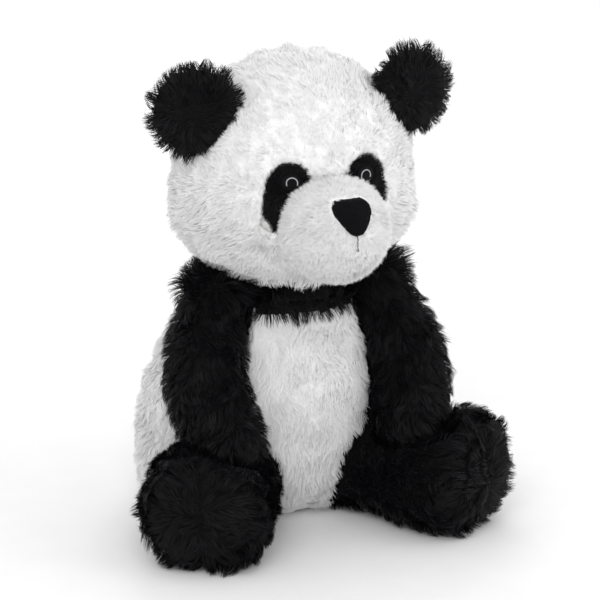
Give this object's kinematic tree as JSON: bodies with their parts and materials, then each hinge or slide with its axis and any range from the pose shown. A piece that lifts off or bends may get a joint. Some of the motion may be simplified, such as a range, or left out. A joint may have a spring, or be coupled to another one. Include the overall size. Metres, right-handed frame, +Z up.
{
  "type": "plush panda",
  "caption": "Seated plush panda with a long black and white pile; its head turns and nods, its arms swing and its legs splay on their sewn joins.",
  "frame": {"origin": "on the ground under the middle of the body, at the middle of the base panel's flat underside", "axes": "+Z up, -Y the way the face looks, +X the panda's own left"},
  "size_m": [0.2618, 0.2365, 0.336],
  "materials": {
    "white_pile": "long white plush pile",
    "white_short_pile": "short white plush pile",
    "black_pile": "long black plush pile",
    "black_short_pile": "short black plush pile",
    "nose_felt": "black felted cloth",
    "black_thread": "black embroidery thread",
    "white_thread": "white embroidery thread",
    "stuffing": "fluffy polyester fibre",
    "pouch_cloth": "woven pouch"
  },
  "bodies": {
    "torso": {"back_panel_left": "white_pile", "back_panel_right": "white_pile", "base_panel": "white_pile", "belly_panel": "white_pile", "body_stuffing": "stuffing", "chest_band": "black_pile", "neck_seam_thread": "black_thread", "pellet_pouch": "pouch_cloth", "shoulder_band": "black_pile"},
    "neck": {"neck_stuffing": "stuffing"},
    "head": {"chin_panel": "white_pile", "ear_back_left": "black_pile", "ear_back_right": "black_pile", "ear_front_left": "black_pile", "ear_front_right": "black_pile", "ear_padding_left": "stuffing", "ear_padding_right": "stuffing", "eye_glint_left": "white_thread", "eye_glint_right": "white_thread", "eye_left": "black_thread", "eye_patch_left": "black_short_pile", "eye_patch_right": "black_short_pile", "eye_right": "black_thread", "head_gusset": "white_pile", "head_side_left": "white_pile", "head_side_right": "white_pile", "head_stuffing": "stuffing", "mouth_stitch": "black_thread", "muzzle_panel": "white_short_pile", "muzzle_stuffing": "stuffing", "nose": "nose_felt"},
    "arm_left": {"arm_back_panel_left": "black_pile", "arm_front_panel_left": "black_pile", "arm_stuffing_left": "stuffing"},
    "arm_right": {"arm_back_panel_right": "black_pile", "arm_front_panel_right": "black_pile", "arm_stuffing_right": "stuffing"},
    "leg_left": {"leg_inner_panel_left": "black_pile", "leg_outer_panel_left": "black_pile", "leg_stuffing_left": "stuffing"},
    "leg_right": {"leg_inner_panel_right": "black_pile", "leg_outer_panel_right": "black_pile", "leg_stuffing_right": "stuffing"}
  },
  "joints": [
    {"name": "neck_turn", "type": "hinge", "parent": "torso", "child": "neck", "pos_m": [0, -0.038, 0.173], "axis": [0, 0, 1], "range_deg": [-25, 25], "stiffness_Nm_per_rad": 0.6},
    {"name": "neck_nod", "type": "hinge", "parent": "neck", "child": "head", "pos_m": [0, -0.038, 0.173], "axis": [1, 0, 0], "range_deg": [-8, 10], "stiffness_Nm_per_rad": 2},
    {"name": "arm_swing_left", "type": "hinge", "parent": "torso", "child": "arm_left", "pos_m": [0.056, -0.04, 0.16], "axis": [-1, 0, 0], "range_deg": [0, 60], "stiffness_Nm_per_rad": 0.08},
    {"name": "arm_swing_right", "type": "hinge", "parent": "torso", "child": "arm_right", "pos_m": [-0.056, -0.04, 0.16], "axis": [-1, 0, 0], "range_deg": [0, 60], "stiffness_Nm_per_rad": 0.08},
    {"name": "leg_splay_left", "type": "hinge", "parent": "torso", "child": "leg_left", "pos_m": [0.05, -0.042, 0.038], "axis": [0, 0, 1], "range_deg": [-2, 5], "stiffness_Nm_per_rad": 0.5},
    {"name": "leg_splay_right", "type": "hinge", "parent": "torso", "child": "leg_right", "pos_m": [-0.05, -0.042, 0.038], "axis": [0, 0, -1], "range_deg": [-2, 5], "stiffness_Nm_per_rad": 0.5}
  ]
}
